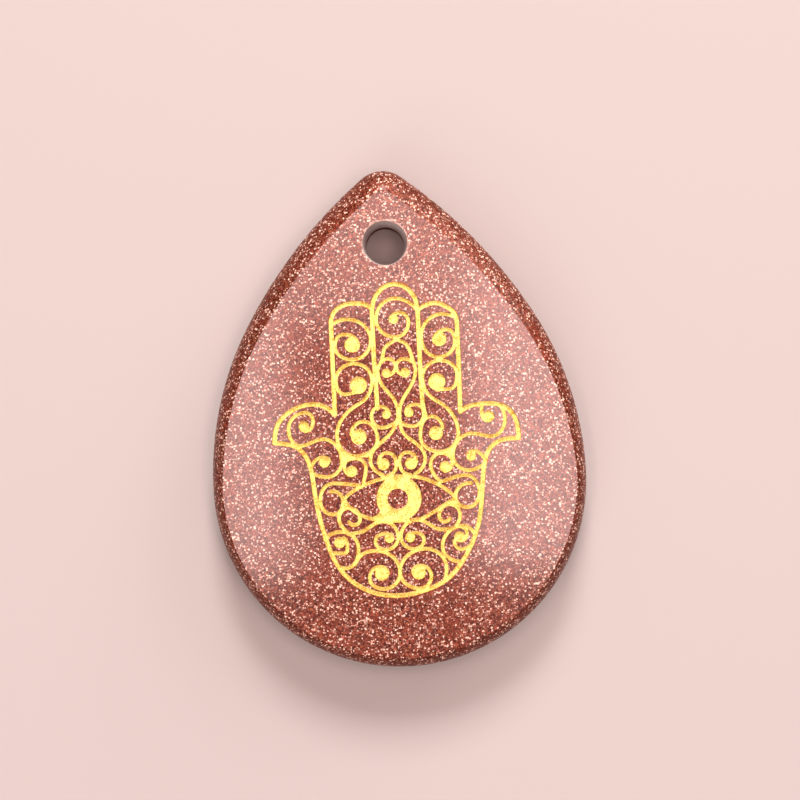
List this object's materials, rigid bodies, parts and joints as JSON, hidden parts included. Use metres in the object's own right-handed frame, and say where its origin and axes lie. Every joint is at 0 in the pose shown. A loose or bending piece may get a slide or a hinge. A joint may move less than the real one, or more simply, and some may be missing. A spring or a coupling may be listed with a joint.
{
  "type": "hamsa pendant",
  "caption": "Flat-backed teardrop pendant of goldstone with a domed polished face, a drilled cord hole near its tip and an engraved hamsa filled with gold.",
  "frame": {"origin": "centre of the drop's outline box, on the plane of its flat back", "axes": "+Y from the round base toward the drilled tip, +Z out of the engraved face, +X to the right as the face is seen with the tip up"},
  "size_m": [0.03, 0.04, 0.0062],
  "materials": {
    "goldstone": "polished copper-brown goldstone, opaque, dense with small flakes",
    "gold": "matt lemon gold, laid in the engraving"
  },
  "bodies": {
    "root": {"goldstone_drop": "goldstone", "gold_inlay": "gold"}
  },
  "joints": []
}
